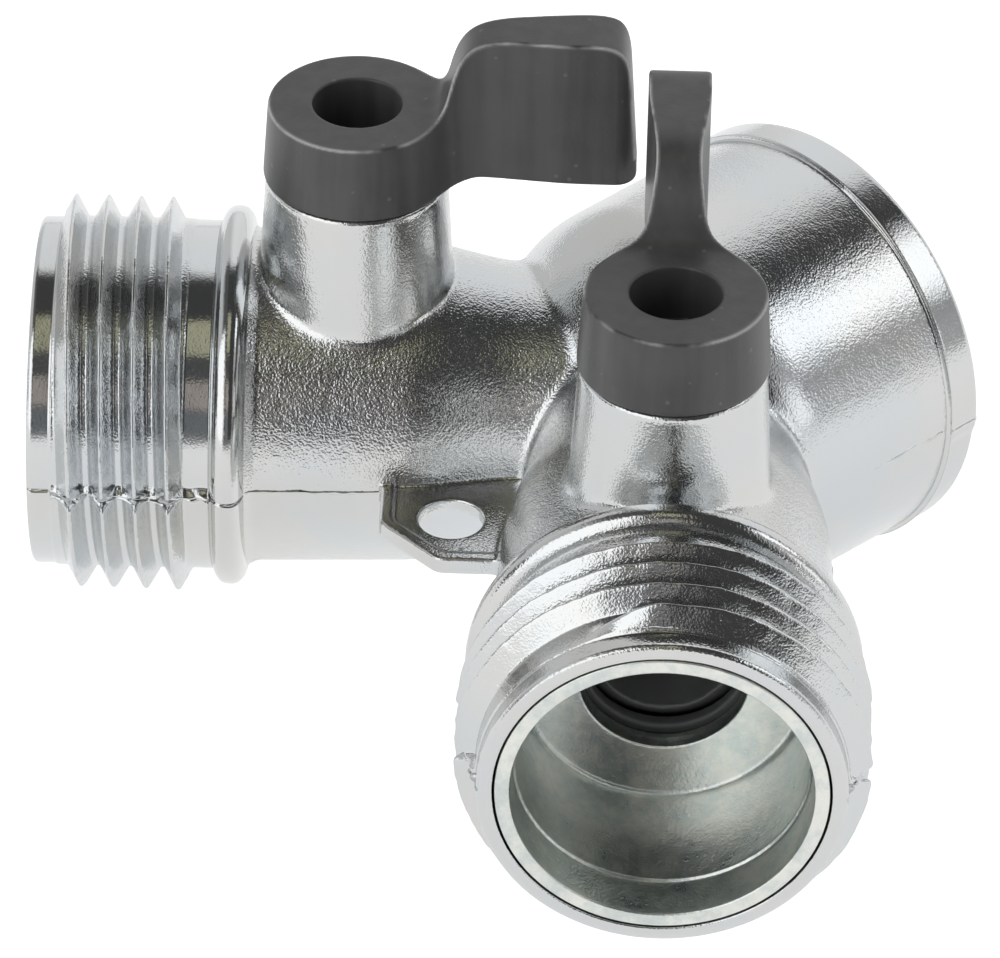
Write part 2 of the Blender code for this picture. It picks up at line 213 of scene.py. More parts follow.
seen = wire.node("ShaderNodeLightPath", output="Is Camera Ray")
feed(shader, Emission_Color=seen.blend(grey(0.66), grey(0.95)))
shader.inputs["Emission Strength"].default_value = 1.0
floor_mesh.materials.append(paper)


# ---------------------------------------------------------------- casting
# The body is one zinc die casting, plated bright: a domed inlet shell, two pipes 90 degrees
# apart, a tower on each for its valve stem, and a tab with a hole in the crotch between them.
UP = np.array([0.0, 0.0, 1.0])
INLET_AXIS = np.array([0.0, 1.0, 0.0])
ARMS = {"left": np.array([-1, -1, 0]) * math.sqrt(0.5), "right": np.array([1, -1, 0]) * math.sqrt(0.5)}
VALVE_DISTANCE = abs(PIVOTS["left_lever"][0]) * math.sqrt(2)
SHELL_RADIUS = 14.65
SHELL_END = 12.5
DOME_DEPTH = 11.0
DOME_START = 0.8
PIPE_END = 29.25
TOWER_TOP = 18.5
TOWER_TOP_RADIUS = 6.12
TOWER_DRAFT = 0.0565

# The water ways' radii, and where they start along their own axes
SOCKET_RADIUS = 13.9
SOCKET_FLOOR = 4.2
WASHER_SEAT_RADIUS = 12.9
WASHER_SEAT = 1.0
INLET_PASSAGE = 6.5
ARM_PASSAGE = 5.0
CHAMBER_RADIUS = 9.0
CHAMBER_START = 13.6
STEM_BORE = 3.6


def melt(a, b, size):
    """The lower of two distances, their crossing rounded by a cubic over that size."""
    overlap = np.maximum(size - np.abs(a - b), 0) / size
    return np.minimum(a, b) - overlap**3 * size / 6


def carve(a, b, size):
    """The higher of two distances, their crossing rounded by a cubic over that size."""
    return -melt(-a, -b, size)


def ease(x):
    """0 below 0 and 1 above 1, with an S curve between."""
    x = np.clip(x, 0, 1)
    return x * x * (3 - 2 * x)


def shell_distance(p):
    """Distance to the inlet: half an ellipsoid in front, and a slightly widening tube behind."""
    radius = np.hypot(p[:, 0], p[:, 2])
    squeeze = SHELL_RADIUS / DOME_DEPTH
    depth = np.minimum(p[:, 1] - DOME_START, 0) * squeeze
    dome = np.hypot(radius, depth)
    slope = np.hypot(radius, depth * squeeze) / np.maximum(dome, 1e-6)
    widening = 0.012 * np.maximum(p[:, 1] - DOME_START, 0)
    return (dome - SHELL_RADIUS) / np.maximum(slope, 0.5) - widening


def pipe_radius(along):
    """A pipe's outer radius: it grows outwards from a waist behind its tower, and flares at its end."""
    waist = 1.1 * ease((18 - along) / 8)
    flare = 0.45 * ease((along - 27.7) / 1.1)
    return 10.49 + 0.0294 * np.maximum(along, 0) - waist + flare


def pipe_distance(p, arm):
    """Distance to a pipe, which ends in a dome where the axes cross."""
    along = p @ arm
    radius = np.linalg.norm(p - along[:, None] * arm, axis=1)
    below = np.maximum(-along, 0)
    return np.hypot(radius, below) - pipe_radius(along)


def tower_distance(p, arm):
    """Distance to a valve tower: a cone with little draft and a rounded top edge."""
    flat = p - arm * VALVE_DISTANCE
    radius = np.hypot(flat[:, 0], flat[:, 1])
    side = radius - TOWER_TOP_RADIUS - TOWER_DRAFT * (TOWER_TOP - p[:, 2])
    return carve(carve(side, p[:, 2] - TOWER_TOP, 0.6), -p[:, 2], 0.5)


def hollow_distance(p):
    """Distance to the water ways: inlet socket and passage, pipes' passages, valve chambers
    and stem bores. The stems' flanges have no recess here, so they cross the wall above the chamber."""
    radius = np.hypot(p[:, 0], p[:, 2])
    hollow = carve(radius - SOCKET_RADIUS, SOCKET_FLOOR - p[:, 1], 0.6)
    hollow = melt(hollow, carve(radius - WASHER_SEAT_RADIUS, WASHER_SEAT - p[:, 1], 0.6), 0.6)
    hollow = melt(hollow, np.maximum(radius - INLET_PASSAGE, -2 - p[:, 1]), 1.0)
    for arm in ARMS.values():
        along = p @ arm
        radius = np.linalg.norm(p - along[:, None] * arm, axis=1)
        flat = p - arm * VALVE_DISTANCE
        stem = np.hypot(flat[:, 0], flat[:, 1])
        hollow = melt(hollow, np.maximum(radius - ARM_PASSAGE, -1 - along), 1.0)
        hollow = melt(hollow, carve(radius - CHAMBER_RADIUS, CHAMBER_START - along, 0.6), 1.0)
        hollow = melt(hollow, np.maximum(stem - STEM_BORE, -p[:, 2]), 0.8)
    return hollow


def casting_outside(p):
    """Distance to the casting without its hollows, its parts melted together by fillets."""
    left, right = (pipe_distance(p, arm) for arm in ARMS.values())
    solid = melt(shell_distance(p), melt(left, right, 0.9), 0.8)
    for arm in ARMS.values():
        solid = melt(solid, tower_distance(p, arm), 1.1)
    return solid


def casting_distance(p):
    """Distance to the casting, cut off behind its collar and its threaded ends, and hollow."""
    solid = np.maximum(casting_outside(p), p[:, 1] - SHELL_END)
    for arm in ARMS.values():
        solid = np.maximum(solid, p @ arm - PIPE_END)
    return np.maximum(solid, -hollow_distance(p))


def slope_of(distance, p, reach=0.02):
    """The direction in which a distance grows fastest, from differences along each axis."""
    offsets = np.eye(3) * reach
    slope = np.stack([distance(p + step) - distance(p - step) for step in offsets], 1)
    return slope / np.maximum(np.linalg.norm(slope, axis=1, keepdims=True), 1e-9)


def skin(distance, low, high, cell):
    """The surface where a distance is zero: a point in each cell of a regular grid that the
    surface crosses, at the mean of its edges' crossings, then moved along the slope onto the
    surface, and a face around each grid edge that crosses it."""
    axes = [np.arange(start, end + cell, cell) for start, end in zip(low, high)]
    grid = np.stack(np.meshgrid(*axes, indexing="ij"), -1)
    shape = grid.shape[:3]
    value = distance(grid.reshape(-1, 3)).reshape(shape)
    inside = value < 0
    total = np.zeros([n - 1 for n in shape] + [3])
    count = np.zeros([n - 1 for n in shape])
    for axis in range(3):
        first = [slice(None)] * 3
        second = [slice(None)] * 3
        first[axis] = slice(0, -1)
        second[axis] = slice(1, None)
        first, second = tuple(first), tuple(second)
        crossed = inside[first] != inside[second]
        spread = np.where(crossed, value[first] - value[second], 1)
        share = np.where(crossed, value[first] / spread, 0)
        point = grid[first].copy()
        point[..., axis] += share * cell
        b, c = (axis + 1) % 3, (axis + 2) % 3
        for step_b in (0, 1):
            for step_c in (0, 1):
                part = [slice(None)] * 3
                part[b] = slice(step_b, shape[b] - 1 + step_b)
                part[c] = slice(step_c, shape[c] - 1 + step_c)
                part = tuple(part)
                total += point[part] * crossed[part][..., None]
                count += crossed[part]
    number = np.full(count.shape, -1)
    number[count > 0] = np.arange(int((count > 0).sum()))
    points = total[count > 0] / count[count > 0][:, None]
    quads = []
    for axis in range(3):
        b, c = (axis + 1) % 3, (axis + 2) % 3
        inner = [slice(1, -1)] * 3
        inner[axis] = slice(0, -1)
        beyond = [slice(1, -1)] * 3
        beyond[axis] = slice(1, None)
        start_in = inside[tuple(inner)]
        crossed = start_in != inside[tuple(beyond)]
        edge = np.argwhere(crossed) + 1
        edge[:, axis] -= 1
        back_b, back_c = np.eye(3, dtype=int)[b], np.eye(3, dtype=int)[c]
        around = [edge, edge - back_b, edge - back_b - back_c, edge - back_c]
        quad = np.stack([number[tuple(cell_at.T)] for cell_at in around], 1)
        leaving = start_in[crossed]
        quads.append(np.where(leaving[:, None], quad, quad[:, ::-1]))
    for _ in range(4):
        towards = slope_of(distance, points)
        points = points - towards * np.clip(distance(points), -cell, cell)[:, None]
    return points, np.concatenate(quads)


def grid_quads(rows, columns, rows_close=True, columns_close=True):
    """Faces of a grid of points numbered row by row."""
    r = np.arange(rows if rows_close else rows - 1)
    c = np.arange(columns if columns_close else columns - 1)
    r, c = (index.ravel() for index in np.meshgrid(r, c, indexing="ij"))
    next_r, next_c = (r + 1) % rows, (c + 1) % columns
    corners = (r, c), (next_r, c), (next_r, next_c), (r, next_c)
    return np.stack([row * columns + column for row, column in corners], 1)


def piece(name, points, quads, body, material, replaced=(), normals=None, share=None):
    """Makes an object from points in millimetres and its faces, turned to point outwards. Share is how much
    of the finish's own grain shows at each point; on the levers it marks where their painted edge highlight
    goes."""
    corners = points[quads]
    facing = np.cross(corners[:, 2] - corners[:, 0], corners[:, 3] - corners[:, 1])
    if (facing * corners.mean(axis=1)).sum() < 0:
        quads = quads[:, ::-1]
    mesh = bpy.data.meshes.new(name)
    mesh.from_pydata(((points + CENTRE) * MM).tolist(), [], quads.tolist())
    if share is not None:
        attribute = mesh.attributes.new("share", "FLOAT", "POINT")
        attribute.data.foreach_set("value", np.ravel(share).astype(np.float32))
    if normals is None:
        work = bmesh.new()
        work.from_mesh(mesh)
        bmesh.ops.remove_doubles(work, verts=work.verts, dist=1e-7)
        work.to_mesh(mesh)
        work.free()
    mesh.shade_smooth()
    if normals is not None:
        mesh.normals_split_custom_set_from_vertices(normals.tolist())
    mesh.materials.append(material)
    made = bpy.data.objects.new(name, mesh)
    bpy.context.scene.collection.objects.link(made)
    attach(made, body)
    if replaced:
        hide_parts(*replaced)
    return made


def plated_zinc(name, grain, roughness):
    """Bright zinc plating: mirror-like, a little blue and straw in patches, over a skin whose
    grain is as deep as that number."""
    made, wire, shader = principled(name, Metallic=1.0)
    place = wire.node("ShaderNodeTexCoord", output="Object")
    share = wire.node("ShaderNodeAttribute", output="Fac", attribute_name="share")
    fine = wire.node("ShaderNodeTexNoise",
                     {"Vector": place, "Scale": 6200.0, "Detail": 1.0, "Roughness": 0.5})
    coarse = wire.node("ShaderNodeTexNoise", {"Vector": place, "Scale": 1500.0, "Detail": 1.0})
    waves_in_skin = wire.node("ShaderNodeTexNoise", {"Vector": place, "Scale": 330.0, "Detail": 1.0})
    patches = wire.node("ShaderNodeTexNoise", {"Vector": place, "Scale": 110.0, "Detail": 3.0})
    tint = patches.step(0.5, 0.5).blend((0.645, 0.67, 0.69, 1), (0.685, 0.685, 0.665, 1))
    rough = fine.step(0.55, 0.4) * 0.05 + patches * 0.05 + roughness
    relief = (fine + coarse * 0.6) * share + waves_in_skin * 0.9
    bump = wire.node("ShaderNodeBump", {"Height": relief, "Strength": 1.0, "Distance": grain * MM})
    feed(shader, Base_Color=tint, Roughness=rough, Normal=bump)
    return made


def cast_grain(p):
    """How coarse the die's skin was at each point: most on the pipes, less on shell and towers."""
    towers = np.minimum(*(tower_distance(p, arm) for arm in ARMS.values()))
    smoother = np.maximum(1 - ease(shell_distance(p) / 0.5), 1 - ease(towers / 0.5))
    return 1 - 0.5 * smoother


GRAIN_DEPTH = 0.044
PLATING_ROUGHNESS = 0.07
CASTING_LOW = (-30.2, -30.2, -15.3)
CASTING_HIGH = (30.2, 13.0, 19.1)
CASTING_CELL = 0.34
cast_skin = plated_zinc("cast_skin_plated", GRAIN_DEPTH, PLATING_ROUGHNESS)
points, quads = skin(casting_distance, CASTING_LOW, CASTING_HIGH, CASTING_CELL)
piece("body_casting", points, quads, "splitter_body", cast_skin, ["body"],
      slope_of(casting_distance, points), cast_grain(points))


# ---------------------------------------------------------------- threaded ends
# Each pipe ends in a bead that stops the hose nut, a neck, a 3/4 inch hose thread and a plain
# land; all of it is part of the casting, and the parting line crosses it at both sides.
PITCH = 25.4 / 11.5
CREST = 13.47
ROOT = 12.0
NECK_RADIUS = 11.95
LAND_RADIUS = 11.9
PRESS_BORE = 10.85
END_ANGLES = 400
WAVE_COUNT = 9
THREAD_GRAIN = 0.5
FACE_GRAIN = 0.8


def waves(u, v, size, seed):
    """Smooth random relief between -1 and 1: a sum of waves in random directions, each about
    that long, over a surface with coordinates u and v."""
    rng = np.random.default_rng(seed)
    total = np.zeros(np.broadcast(u, v).shape)
    for _ in range(WAVE_COUNT):
        way = rng.uniform(0, 2 * math.pi)
        length = size * rng.uniform(0.7, 1.6)
        phase = rng.uniform(0, 6.3)
        total = total + np.sin((u * math.cos(way) + v * math.sin(way)) * 2 * math.pi / length + phase)
    return total / (WAVE_COUNT / 2)


def round_angles(count):
    """Angles round a turned part from its top, closer together at the parting line."""
    even = np.arange(count) * 2 * math.pi / count
    return even + 0.37 * np.sin(2 * even)


def turned(profile_along, profile_radius, axis, angles):
    """Points of a profile carried round an axis, one row to an angle. The profile is a row of
    numbers, or a row for each angle."""
    across = np.cross(axis, UP)
    ring = np.cos(angles)[:, None] * UP + np.sin(angles)[:, None] * across
    radius = np.broadcast_to(profile_radius, (len(angles), np.shape(profile_radius)[-1]))
    along = np.broadcast_to(profile_along, radius.shape)
    return (along[..., None] * axis + radius[..., None] * ring[:, None, :]).reshape(-1, 3)


def thread_height(along, angle, first_crest, start_turn, end_turn, softness):
    """How high a right-hand thread stands at each place, from 0 at its root to 1 on its crest:
    60 degree flanks, and a crest that fades out at both ends of the helix."""
    turns = (along - first_crest) / PITCH - angle / (2 * math.pi)
    crest = np.round(turns)
    away = np.abs(turns - crest) * PITCH
    flank = 1 - (away - 0.07) / 0.82
    height = carve(melt(flank, np.ones_like(flank), softness), np.zeros_like(flank), softness)
    reach = crest + angle / (2 * math.pi)
    fade = ease((reach - start_turn) / 0.07 + 0.5) * ease((end_turn - reach) / 0.07 + 0.5)
    return height * fade


def threaded_end(side, first_crest, start_turn, end_turn, neck_grain):
    """One end as a closed ring: back face, bead, neck, thread, land, end face and bore."""
    axis = ARMS[side]
    angles = round_angles(END_ANGLES)
    bead_turn = np.linspace(-1, 1, 27)
    bead_along = 29.65 + 1.25 * np.sin(bead_turn * math.pi / 2)
    bead_radius = 10.9 + 2.1 * (1 - np.abs(np.sin(bead_turn * math.pi / 2)) ** 2.6) ** (1 / 2.2)
    neck_along = np.linspace(30.75, 32.6, 12)
    cut_along = np.linspace(32.65, 41.45, 138)
    land_along = np.linspace(41.5, 42.65, 9)
    face_turn = np.linspace(0, math.pi / 2, 6)
    edge_along = 42.75 + 0.35 * np.sin(face_turn)
    edge_radius = 11.55 + 0.35 * np.cos(face_turn)
    lip_turn = np.linspace(0, math.pi / 2, 5)
    lip_along = 42.98 + 0.12 * np.cos(lip_turn)
    lip_radius = 10.97 - 0.12 * np.sin(lip_turn)
    bore_along = [41, 36, 31, 28.4]
    along = np.concatenate([bead_along, neck_along, cut_along, land_along, edge_along, lip_along, bore_along])
    radius = np.concatenate([
        bead_radius, np.full(len(neck_along), NECK_RADIUS), np.full(len(cut_along), ROOT),
        np.full(len(land_along), LAND_RADIUS), edge_radius, lip_radius, [PRESS_BORE] * len(bore_along),
    ])
    thread_start = len(bead_along) + len(neck_along)
    thread_end = thread_start + len(cut_along)
    land_end = thread_end + len(land_along) + 3
    angle = angles[:, None]
    s = np.broadcast_to(along, (len(angles), len(along))).copy()
    r = np.broadcast_to(radius, s.shape).copy()
    cut = slice(len(bead_along), thread_end)
    height = thread_height(s[:, cut], angle, first_crest, start_turn, end_turn, 0.14)
    round_way = angle * 12.5
    worn = 1 + 0.035 * waves(round_way, s[:, cut] * 0.4, 3.1, 5) + 0.02 * waves(round_way, s[:, cut], 0.9, 6)
    r[:, cut] = r[:, cut] + (CREST - r[:, cut]) * height * worn
    parting = np.cos(angle) * r
    seam = np.exp(-((parting + 0.12 * waves(s, 0 * s, 1.7, 8)) / 0.38) ** 2)
    lumps = 12.55 + 0.42 * waves(s, parting, 0.9, 9) + 0.2 * waves(s, 0 * s, 2.7, 15)
    r[:, cut] = r[:, cut] + (lumps[:, cut] - r[:, cut]) * 0.85 * seam[:, cut]
    outer = slice(0, land_end)
    wander = 0.06 * waves(s[:, outer], 0 * s[:, outer], 2.3, 4)
    crack = np.exp(-((parting[:, outer] + wander) / 0.075) ** 2)
    depth = 0.16 + 0.34 * ease(waves(s[:, outer], 0 * s[:, outer], 1.6, 13) * 1.5)
    r[:, outer] -= depth * crack
    flash = np.exp(-((parting[:, outer] + wander + 0.17) / 0.08) ** 2)
    r[:, outer] += 0.08 * flash * (0.6 + 0.5 * waves(s[:, outer], 0 * s[:, outer], 1.3, 11))
    grain = np.full(s.shape[1], neck_grain)
    grain[thread_start - 1:thread_end] = THREAD_GRAIN
    grain[thread_end:land_end] = neck_grain * 0.8
    grain[land_end:] = FACE_GRAIN
    skin_points = turned(s, r, axis, angles)
    return skin_points, grid_quads(len(angles), s.shape[1]), np.broadcast_to(grain, s.shape)


# Where the crest of turn 0 stands at the top, the turn at which both helices start, and what
# differs between the two ends.
FIRST_CREST = 40.67
START_TURN = -3.6
ENDS = {"left": {"end_turn": 0.25, "neck_grain": 0.14}, "right": {"end_turn": 0.04, "neck_grain": 0.45}}
for side, differences in ENDS.items():
    points, quads, grain = threaded_end(side, FIRST_CREST, START_TURN, **differences)
    piece(f"{side}_threaded_end", points, quads, "splitter_body", cast_skin, share=grain)


# ---------------------------------------------------------------- parting line
# Where the two halves of the die met, a thin ragged flash is left along the pipes' and the
# inlet's sides. It is the same metal as the casting.
FLASH_STEP = 0.12
FLASH_END = 28.6


def flash_strip(along, surface, direction, outward, seed):
    """A thin ridge that follows a straight path on a surface whose radius is given at each place:
    an ellipse in section, with its height and its place wandering, and nothing at its ends."""
    turn = np.arange(10) * 2 * math.pi / 10
    fade = ease((along - along[0]) / 0.6) * ease((along[-1] - along) / 0.6)
    high = fade * (0.10 + 0.05 * waves(along, 0 * along, 1.1, seed))
    wide = fade * (0.12 + 0.04 * waves(along, 0 * along, 1.9, seed + 1))
    wander = 0.07 * waves(along, 0 * along, 2.6, seed + 2)
    middle = along[:, None] * direction + surface[:, None] * outward + wander[:, None] * UP
    over = high[:, None, None] * np.cos(turn)[:, None] * outward
    beside_it = wide[:, None, None] * np.sin(turn)[:, None] * UP
    points = (middle[:, None] + over + beside_it).reshape(-1, 3)
    return points, grid_quads(len(along), len(turn), rows_close=False)


for side, arm in ARMS.items():
    across = np.cross(arm, UP)
    towards_tab = across if side == "right" else -across
    for name, outward, start in (("inner", towards_tab, 18.6), ("outer", -towards_tab, 13.5)):
        along = np.arange(start, FLASH_END, FLASH_STEP)
        points, quads = flash_strip(along, pipe_radius(along), arm, outward, 21)
        piece(f"{side}_pipe_flash_{name}", points, quads, "splitter_body", cast_skin)
for name, outward in (("left", np.array([-1.0, 0, 0])), ("right", np.array([1.0, 0, 0]))):
    along = np.arange(4.5, 12.1, FLASH_STEP)
    surface = SHELL_RADIUS + 0.012 * (along - DOME_START) - 0.05
    points, quads = flash_strip(along, surface, INLET_AXIS, outward, 31)
    piece(f"inlet_flash_{name}", points, quads, "splitter_body", cast_skin)


# ---------------------------------------------------------------- inlet collar
# The inlet's mouth stands proud of the shell as a band, with the female hose thread cut in it.
# It is the same casting.
BAND_RADIUS = 15.16
BAND_STEPS = 9
FEMALE_ROOT = 13.6
FEMALE_DEPTH = 1.35
SOCKET_STEPS = 150
COLLAR_GRAIN = 0.25
angles = round_angles(330)
corner = np.linspace(0, math.pi / 2, 6)
buried_along = [4.4, 8, 11.6]
collar_along = np.concatenate([
    buried_along, 12.02 + 0.3 * np.sin(corner), 12.32 + 0.1 * (1 - np.cos(corner)),
    np.linspace(12.6, 14.3, BAND_STEPS), 14.48 + 0.45 * np.sin(corner), 14.83 + 0.1 * np.cos(corner),
    np.linspace(14.4, 4.5, SOCKET_STEPS),
])
collar_radius = np.concatenate([
    [14.3, 14.3, 14.5], 14.76 + 0.3 * (1 - np.cos(corner)), 15.06 + 0.1 * np.sin(corner),
    np.full(BAND_STEPS, BAND_RADIUS), 14.71 + 0.45 * np.cos(corner), 13.85 - 0.1 * np.sin(corner),
    np.full(SOCKET_STEPS, FEMALE_ROOT),
])
s = np.broadcast_to(collar_along, (len(angles), len(collar_along))).copy()
r = np.broadcast_to(collar_radius, s.shape).copy()
inner = slice(s.shape[1] - SOCKET_STEPS, s.shape[1])
height = thread_height(s[:, inner], angles[:, None],
                       first_crest=13.2, start_turn=-4, end_turn=0.6, softness=0.16)
r[:, inner] -= FEMALE_DEPTH * height
parting = np.cos(angles[:, None]) * r
band_start = len(buried_along) + len(corner)
outer = slice(band_start, band_start + 2 * len(corner) + BAND_STEPS)
r[:, outer] -= 0.22 * ease((-parting[:, outer] - 0.3) / 1.2)
r[:, outer] += 0.1 * np.exp(-(parting[:, outer] / 0.12) ** 2)
points = turned(s, r, INLET_AXIS, angles)
piece("inlet_collar", points, grid_quads(len(angles), s.shape[1]), "splitter_body", cast_skin,
      share=np.full(len(points), COLLAR_GRAIN))


# ---------------------------------------------------------------- tab
# The tab is cast in the crotch between the pipes, with a raised rim and a hole to hang it by.
TAB_REACH = 19.2
TAB_CUT = 4.0
TAB_HOLE_PLACE = 14.4
TAB_HOLE_RADIUS = 2.15
TAB_HALF_THICKNESS = 0.48
TAB_RIM = 0.16
TAB_GRAIN = 0.5


def tab_distance(p):
    """Distance to the tab: a flat plate with its outer corner cut off, thicker at its rim, and
    the pipes' skins just under the casting's own, so that its fillets rise out of them."""
    left, right = (p @ arm for arm in ARMS.values())
    edge = carve(left - TAB_REACH, right - TAB_REACH, 0.5)
    edge = carve(edge, (left + right - 2 * TAB_REACH + TAB_CUT) * math.sqrt(0.5), 0.5)
    rim = TAB_RIM * ease((edge + 1.15) / 0.5)
    plate = carve(edge, np.abs(p[:, 2]) - TAB_HALF_THICKNESS - rim, 0.35)
    plate = carve(plate, -np.minimum(left, right) + 6, 0.3)
    hole = TAB_HOLE_RADIUS - np.hypot(left - TAB_HOLE_PLACE, right - TAB_HOLE_PLACE)
    plate = carve(plate, hole, 0.35)
    pipes = np.minimum(*(pipe_distance(p, arm) for arm in ARMS.values())) + 0.12
    return np.maximum(melt(plate, pipes, 0.9), np.maximum(np.abs(p[:, 2]) - 1.6, -left + 8))


def tab_block(p):
    """Distance to the tab cut off inside the pipes, so that its mesh is closed. The cut isn't at
    the pipes' walls: the hidden root reaches into both valve chambers, and into the left ball."""
    left, right = (p @ arm for arm in ARMS.values())
    inside = np.maximum(np.abs(left - right) - 11.0, 17.5 - left - right)
    inside = np.maximum(inside, left + right - 2 * TAB_REACH)
    return np.maximum(tab_distance(p), inside)


points, quads = skin(tab_block, (-8.5, -28.0, -1.7), (8.5, -12.0, 1.7), 0.13)
piece("body_tab", points, quads, "splitter_body", cast_skin, (), slope_of(tab_block, points),
      np.full(len(points), TAB_GRAIN))


# ---------------------------------------------------------------- levers
# Each lever is moulded in black plastic: a round hub with a well for its screw, and a blade
# that stands above the hub and flares into it.
HUB_BOTTOM = 18.62
HUB_TOP = 24.03
HUB_TOP_RADIUS = 5.97
HUB_DRAFT = 0.0593
WELL_FLOOR = 20.0
WELL_RADIUS = 2.98
BOSS_RADIUS = 3.25
BOSS_BOTTOM = 16.6
SOCKET_HALF_WIDTH = 2.0
SOCKET_TOP = 19.0
SCREW_HOLE = 1.2


def lever_outlines(q):
    """How far outside a lever's outline from above a place is, and outside its outline from the
    side: each a round hub and a blade, with their own fillets."""
    out, across, up = q.T
    half_width = 1.475 + 0.6 * ease((out - 7) / 8.5) - 0.35 * np.maximum(out - 17.2, 0) ** 2
    from_above = melt(np.hypot(out, across) - HUB_TOP_RADIUS - HUB_DRAFT * (HUB_TOP - up),
                      np.maximum(np.abs(across) - half_width, -out), 3.2)
    blade_top = carve((5.8 + 0.2 * (up - 24.6) - out) * 0.98, up - 30.15 - 0.02 * (out - 12), 4.6)
    from_side = melt(up - HUB_TOP, blade_top, 2.6)
    from_side = carve(from_side, (out - 18.45 + 0.07 * (up - 24)) * 0.998, 3.2)
    bottom = HUB_BOTTOM + 0.68 * ease((out - 5.5) / 3)
    return from_above, carve(from_side, bottom - up, 1.0)


def lever_distance(q):
    """Distance to a lever, in its own axes: along the blade, across it, and up. The two outlines
    cross with crisp edges; the well and the stem's socket are cut out."""
    out, across, up = q.T
    radius = np.hypot(out, across)
    lever = carve(*lever_outlines(q), 0.36)
    lever = carve(lever, -np.maximum(radius - WELL_RADIUS, WELL_FLOOR - up), 0.25)
    boss = carve(np.maximum(radius - BOSS_RADIUS, up - WELL_FLOOR), BOSS_BOTTOM - up, 0.3)
    socket = np.maximum(np.maximum(np.abs(out), np.abs(across)) - SOCKET_HALF_WIDTH, up - SOCKET_TOP)
    return np.maximum(np.minimum(lever, boss), -np.minimum(socket, radius - SCREW_HOLE))


PLASTIC_TINT = (0.97, 1.0, 0.965)


def lever_plastic():
    """Black moulded plastic with a satin skin: fine grain, faint flow streaks and pale specks, and a painted
    highlight: pale grey painted along the crisp upper edges."""
    made, wire, shader = principled("satin_black_plastic", Specular_IOR_Level=0.5)
    place = wire.node("ShaderNodeTexCoord", output="Object")
    # The share attribute marks the crisp upper edges, which get a painted highlight.
    edge = wire.node("ShaderNodeAttribute", output="Fac", attribute_name="share")
    grain = wire.node("ShaderNodeTexNoise", {"Vector": place, "Scale": 3600.0, "Detail": 2.0})
    drawn = wire.node("ShaderNodeVectorMath", {0: place, 1: (800.0, 800.0, 70.0)}, operation="MULTIPLY")
    streak = wire.node("ShaderNodeTexNoise", {"Vector": drawn, "Scale": 1.0, "Detail": 3.0})
    cloud = wire.node("ShaderNodeTexNoise", {"Vector": place, "Scale": 260.0, "Detail": 3.0})
    speck = wire.node("ShaderNodeTexVoronoi", {"Vector": place, "Scale": 600.0}, "Distance")
    speck = 1 - speck.step(0.09, 0.05)
    shade = streak * 0.6 + cloud * 0.4
    colour = shade.step(0.5, 0.4).blend(grey(0.062, PLASTIC_TINT), grey(0.094, PLASTIC_TINT))
    colour = (speck * 0.3).blend(colour, grey(0.25))
    # Painted highlight: the upper edges are painted pale grey where the share attribute marks them.
    colour = (edge * cloud.step(0.47, 0.2)).blend(colour, grey(0.6))
    relief = grain + cloud * 0.7
    bump = wire.node("ShaderNodeBump", {"Height": relief, "Strength": 1.0, "Distance": 0.011 * MM})
    feed(shader, Base_Color=colour, Roughness=shade * 0.2 + 0.26, Normal=bump)
    return made


black_plastic = lever_plastic()
points, quads = skin(lever_distance, (-7.0, -7.0, 16.2), (19.2, 7.0, 30.8), 0.15)
normals = slope_of(lever_distance, points)
from_above, from_side = lever_outlines(points)
# Where the two outlines meet on the upper edges: the levers' painted edge highlight goes here.
painted_edge_highlight = np.exp(-((from_above - from_side) / 0.13) ** 2) * (points[:, 2] > 21)
for side, arm in ARMS.items():
    axes = np.stack([-arm, np.cross(UP, -arm), UP])
    place = arm * VALVE_DISTANCE
    piece(f"{side}_lever", points @ axes + place, quads, f"{side}_valve", black_plastic,
          [f"{side}_handle"], normals @ axes, painted_edge_highlight)


# ---------------------------------------------------------------- outlet sleeves
# A dull machined sleeve is pressed into each pipe's end: its lip is flush with the casting, a
# shallow step runs round its bore, and the water comes through the round port in its floor.
def sleeve_profile():
    """The sleeve's section as a closed line of distances along the axis and radii."""
    turn = np.linspace(0, math.pi / 2, 6)
    corners = [
        ([29.35, 30, 36, 42.8], [10.72] * 4),
        (42.95 + 0.12 * np.sin(turn), 10.6 + 0.12 * np.cos(turn)),
        (42.92 + 0.15 * np.cos(turn), 9.88 - 0.15 * np.sin(turn)),
        (np.linspace(42.5, 40.0, 8), np.linspace(9.73, 9.6, 8)),
        ([39.9, 39.85, 39.75], [9.58, 9.45, 9.43]),
        (np.linspace(39.5, 31.6, 16), [9.43] * 16),
        (31.3 - 0.4 * np.sin(turn), 9.03 + 0.4 * np.cos(turn)),
        ([30.9] * 8, np.linspace(8.8, 5.8, 8)),
        (30.75 + 0.15 * np.cos(turn), 5.65 - 0.15 * np.sin(turn)),
        ([30.2, 29.5, 29.35], [5.5, 5.5, 5.6]),
    ]
    return (np.concatenate([np.asarray(part, float) for part in side]) for side in zip(*corners))


